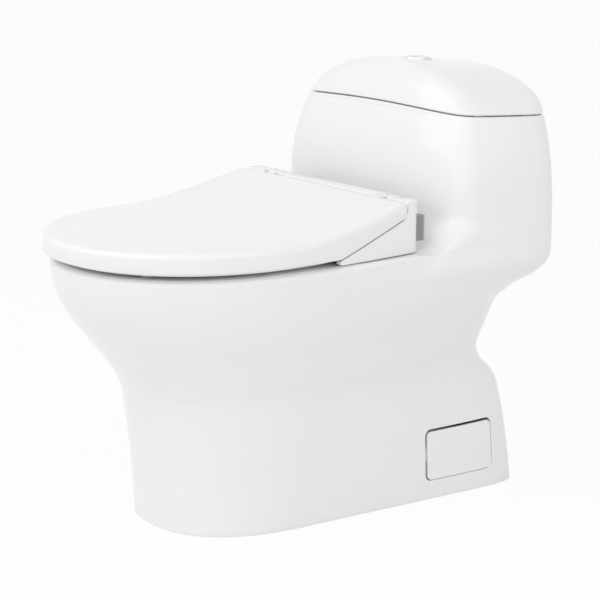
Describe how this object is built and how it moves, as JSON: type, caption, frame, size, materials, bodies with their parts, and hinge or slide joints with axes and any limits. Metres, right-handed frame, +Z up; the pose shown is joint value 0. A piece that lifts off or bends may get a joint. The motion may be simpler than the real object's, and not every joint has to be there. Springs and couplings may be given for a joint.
{
  "type": "one-piece toilet",
  "caption": "One-piece floor-standing toilet with skirted bowl, arched tank lid, push-button flush, soft-close seat and lid, side covers and flushing valves.",
  "frame": {"origin": "centre of the part's box in plan, on the floor", "axes": "+Z up; the bowl's front points along -Y and the tank's back to the wall along +Y; +X is to the right of someone facing the toilet from the front"},
  "size_m": [0.4402, 0.698, 0.6277],
  "materials": {
    "vitreous_china": "gloss glaze",
    "seat_plastic": "gloss",
    "chrome": "polished",
    "steel": "satin",
    "white_plastic": "matt",
    "grey_plastic": "matt",
    "blue_plastic": "matt",
    "black_rubber": "matt",
    "grey_rubber": "matt",
    "clear_rubber": "satin"
  },
  "bodies": {
    "base": {"china_body": "vitreous_china", "fill_valve_arm_pin": "steel", "fill_valve_cap": "grey_plastic", "fill_valve_gasket": "black_rubber", "fill_valve_nut": "white_plastic", "fill_valve_shank": "white_plastic", "fill_valve_tower": "white_plastic", "floor_bolt_left": "steel", "floor_bolt_right": "steel", "floor_bolt_washer_left": "steel", "floor_bolt_washer_right": "steel", "flush_valve_base": "white_plastic", "flush_valve_gasket": "black_rubber", "flush_valve_head": "white_plastic", "outlet_seal": "black_rubber", "seat_base_plate": "steel", "seat_bolt_bush_left": "black_rubber", "seat_bolt_bush_right": "black_rubber", "seat_bolt_left": "steel", "seat_bolt_nut_left": "white_plastic", "seat_bolt_nut_right": "white_plastic", "seat_bolt_right": "steel", "seat_damper": "grey_plastic", "seat_hinge_base": "seat_plastic", "seat_hinge_pin_left": "steel", "seat_hinge_pin_right": "steel", "seat_lid_damper": "grey_plastic", "seat_rear_buffer_left": "grey_rubber", "seat_rear_buffer_right": "grey_rubber"},
    "tank_lid_body": {"tank_lid": "vitreous_china", "tank_lid_pad_rear_right": "clear_rubber", "tank_lid_pad_front_right": "clear_rubber", "tank_lid_pad_rear_left": "clear_rubber", "tank_lid_pad_front_left": "clear_rubber", "button_bezel": "chrome", "bezel_lock_nut": "white_plastic"},
    "full_flush_body": {"full_flush_button": "chrome", "full_flush_rod": "white_plastic"},
    "half_flush_body": {"half_flush_button": "chrome", "half_flush_rod": "white_plastic"},
    "canister_body": {"flush_canister": "blue_plastic", "flush_canister_seal": "black_rubber"},
    "float_body": {"fill_valve_float": "grey_plastic"},
    "float_arm_body": {"fill_valve_arm": "white_plastic"},
    "seat_ring_body": {"seat_ring": "seat_plastic", "seat_pad_front_right": "clear_rubber", "seat_pad_front_left": "clear_rubber", "seat_pad_side_right": "clear_rubber", "seat_pad_side_left": "clear_rubber"},
    "seat_lid_body": {"seat_lid": "seat_plastic", "seat_lid_pad_right": "clear_rubber", "seat_lid_pad_left": "clear_rubber"},
    "cover_right_body": {"side_cover_right": "seat_plastic", "side_cover_clip_right": "white_plastic"},
    "cover_left_body": {"side_cover_left": "seat_plastic", "side_cover_clip_left": "white_plastic"}
  },
  "joints": [
    {"name": "tank_lid_lift", "type": "slide", "parent": "base", "child": "tank_lid_body", "axis": [0, 0, 1], "range_m": [0, 0.12]},
    {"name": "full_flush_press", "type": "slide", "parent": "tank_lid_body", "child": "full_flush_body", "axis": [0, 0, -1], "range_m": [0, 0.008], "stiffness_N_per_m": 250, "springref_m": -0.004},
    {"name": "half_flush_press", "type": "slide", "parent": "tank_lid_body", "child": "half_flush_body", "axis": [0, 0, -1], "range_m": [0, 0.008], "stiffness_N_per_m": 250, "springref_m": -0.004},
    {"name": "canister_lift", "type": "slide", "parent": "base", "child": "canister_body", "axis": [0, 0, 1], "range_m": [0, 0.018]},
    {"name": "float_drop", "type": "slide", "parent": "base", "child": "float_body", "axis": [0, 0, -1], "range_m": [0, 0.01]},
    {"name": "float_arm_swing", "type": "hinge", "parent": "base", "child": "float_arm_body", "pos_m": [-0.125, 0.303, 0.5518], "axis": [0, 1, 0], "range_deg": [0, 24.5]},
    {"name": "seat_ring_hinge", "type": "hinge", "parent": "base", "child": "seat_ring_body", "pos_m": [0, 0.097, 0.447], "axis": [-1, 0, 0], "range_deg": [0, 95]},
    {"name": "seat_lid_hinge", "type": "hinge", "parent": "seat_ring_body", "child": "seat_lid_body", "pos_m": [0, 0.097, 0.447], "axis": [1, 0, 0], "range_deg": [-100, 0]},
    {"name": "cover_right_pull", "type": "slide", "parent": "base", "child": "cover_right_body", "axis": [1, 0, 0], "range_m": [0, 0.05]},
    {"name": "cover_left_pull", "type": "slide", "parent": "base", "child": "cover_left_body", "axis": [-1, 0, 0], "range_m": [0, 0.05]}
  ],
  "couplings": [
    {"joint": "canister_lift", "follows": "full_flush_press", "ratio": 2.25},
    {"joint": "float_arm_swing", "follows": "float_drop", "rad_per_m": 42}
  ]
}
